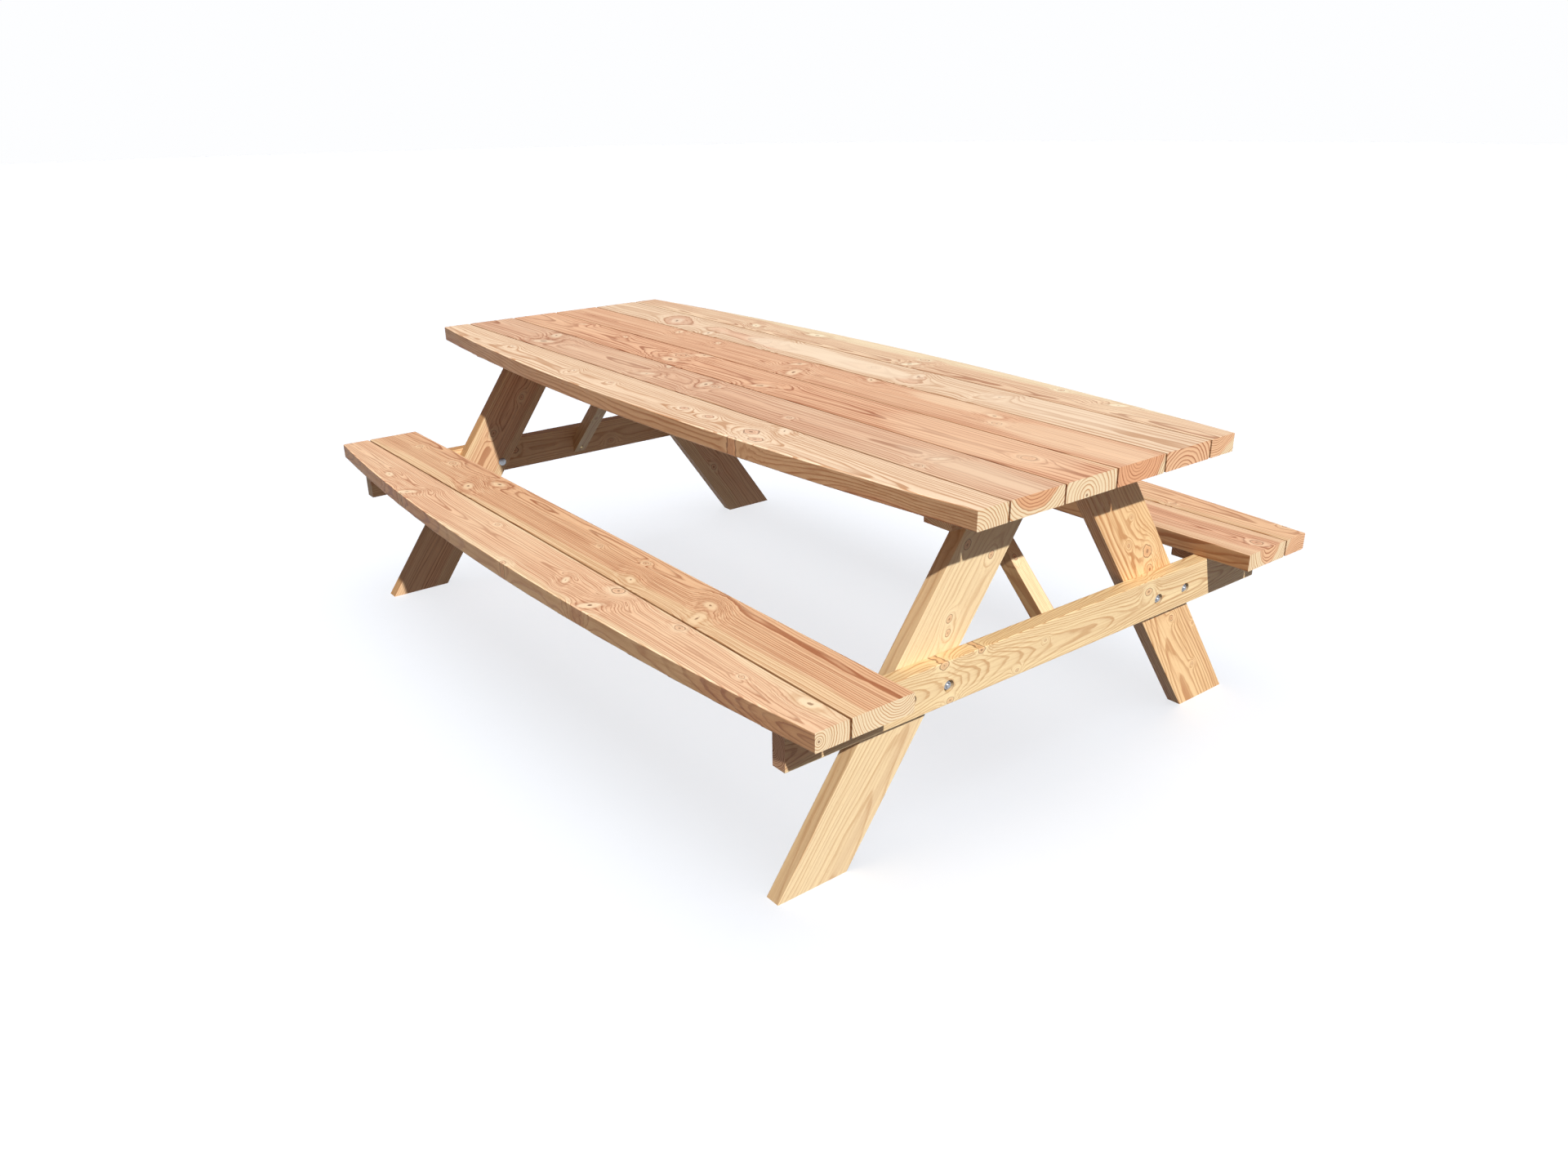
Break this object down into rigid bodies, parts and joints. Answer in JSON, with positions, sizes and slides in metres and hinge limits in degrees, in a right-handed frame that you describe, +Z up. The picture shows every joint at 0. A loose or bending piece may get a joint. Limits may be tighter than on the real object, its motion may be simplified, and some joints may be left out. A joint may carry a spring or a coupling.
{
  "type": "picnic table",
  "caption": "Wooden picnic table with two fixed benches: bowed long edges, slanting legs bolted to cross beams, and a slanting brace at each end.",
  "frame": {"origin": "on the floor, under the middle of the table top", "axes": "+X along the boards, +Y towards one bench, +Z up"},
  "size_m": [2.22, 1.6056, 0.75],
  "materials": {
    "top_timber": "planed, unfinished",
    "bench_timber": "planed, unfinished",
    "frame_timber": "planed, unfinished",
    "bolt_steel": "zinc plated",
    "screw_steel": "zinc plated"
  },
  "bodies": {
    "root": {"bolt_nuts_far": "bolt_steel", "bolt_nuts_near": "bolt_steel", "bolt_washers_far": "bolt_steel", "bolt_washers_near": "bolt_steel", "brace_cleat_far": "frame_timber", "brace_cleat_near": "frame_timber", "brace_cleat_screws_far": "screw_steel", "brace_cleat_screws_near": "screw_steel", "brace_far": "frame_timber", "brace_near": "frame_timber", "brace_screws_far": "screw_steel", "brace_screws_near": "screw_steel", "carriage_bolts_far": "bolt_steel", "carriage_bolts_near": "bolt_steel", "cleat_fixing_screws_far": "screw_steel", "cleat_fixing_screws_near": "screw_steel", "leg_far_left": "frame_timber", "leg_far_right": "frame_timber", "leg_near_left": "frame_timber", "leg_near_right": "frame_timber", "leg_screws_far": "screw_steel", "leg_screws_near": "screw_steel", "seat_batten_left": "frame_timber", "seat_batten_right": "frame_timber", "seat_batten_screws": "screw_steel", "seat_beam_far": "frame_timber", "seat_beam_near": "frame_timber", "seat_board_left_inner": "bench_timber", "seat_board_left_outer": "bench_timber", "seat_board_right_inner": "bench_timber", "seat_board_right_outer": "bench_timber", "seat_cleat_far_left": "frame_timber", "seat_cleat_far_right": "frame_timber", "seat_cleat_near_left": "frame_timber", "seat_cleat_near_right": "frame_timber", "seat_cleat_screws_far": "screw_steel", "seat_cleat_screws_near": "screw_steel", "top_board_1": "top_timber", "top_board_2": "top_timber", "top_board_3": "top_timber", "top_board_4": "top_timber", "top_board_5": "top_timber", "top_board_6": "top_timber", "top_cleat_far": "frame_timber", "top_cleat_near": "frame_timber", "top_cleat_screws_far": "screw_steel", "top_cleat_screws_near": "screw_steel"}
  },
  "joints": []
}
